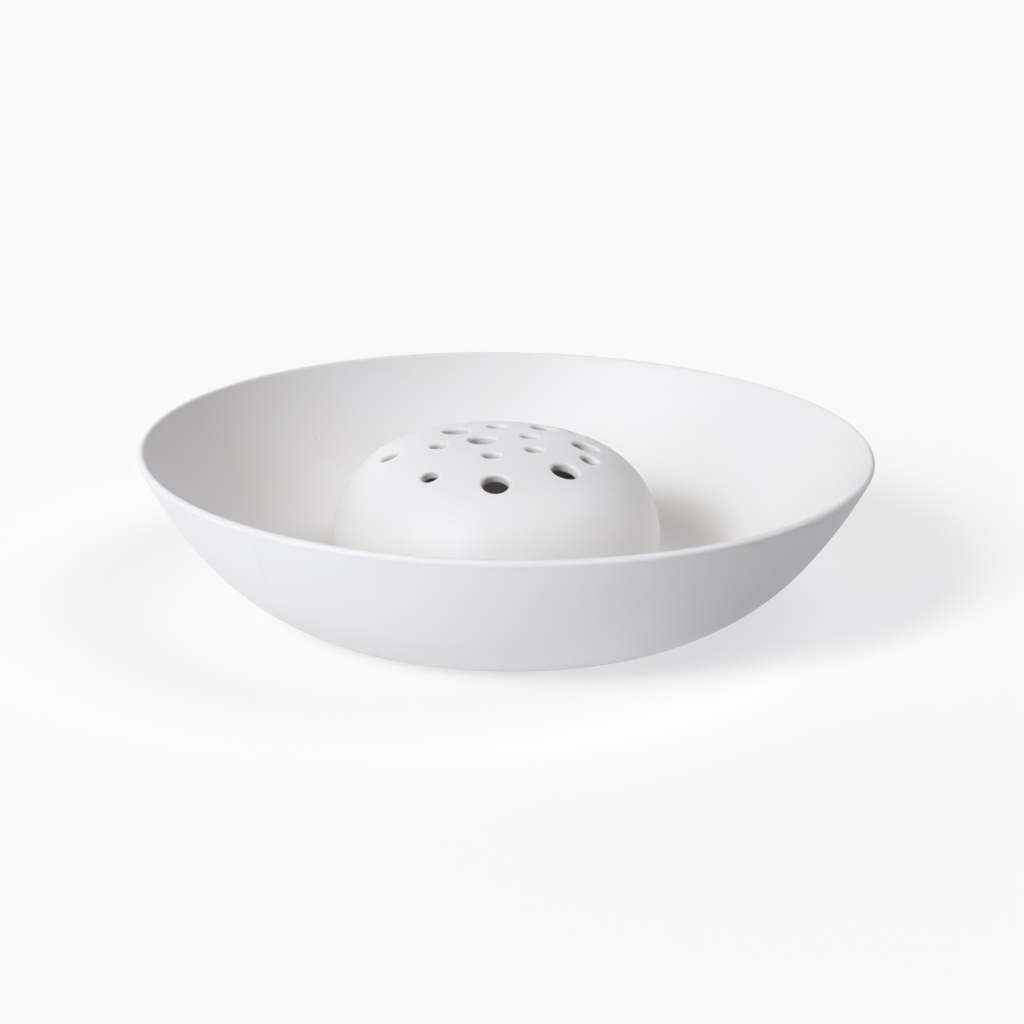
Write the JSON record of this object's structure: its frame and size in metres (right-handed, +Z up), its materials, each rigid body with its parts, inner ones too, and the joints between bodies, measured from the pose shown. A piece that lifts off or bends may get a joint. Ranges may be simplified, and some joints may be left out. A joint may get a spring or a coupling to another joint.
{
  "type": "flower frog",
  "caption": "Shallow wide ceramic bowl on a low foot ring, with a loose hollow dome standing in it whose pierced holes hold cut flower stems upright.",
  "frame": {"origin": "on the table, at the centre of the bowl's foot ring", "axes": "+Z up along the bowl's axis; the dome stands a little towards -X; -Y is the side facing the camera in the picture"},
  "size_m": [0.2998, 0.2998, 0.0647],
  "materials": {
    "bowl_porcelain": "matte white porcelain, silky, unglazed foot",
    "dome_porcelain": "matte white porcelain, silky"
  },
  "bodies": {
    "bowl": {"bowl": "bowl_porcelain"},
    "frog_dome": {"frog_dome": "dome_porcelain"}
  },
  "joints": [
    {"name": "frog_lift", "type": "slide", "parent": "bowl", "child": "frog_dome", "axis": [0, 0, 1], "range_m": [0, 0.12]}
  ]
}
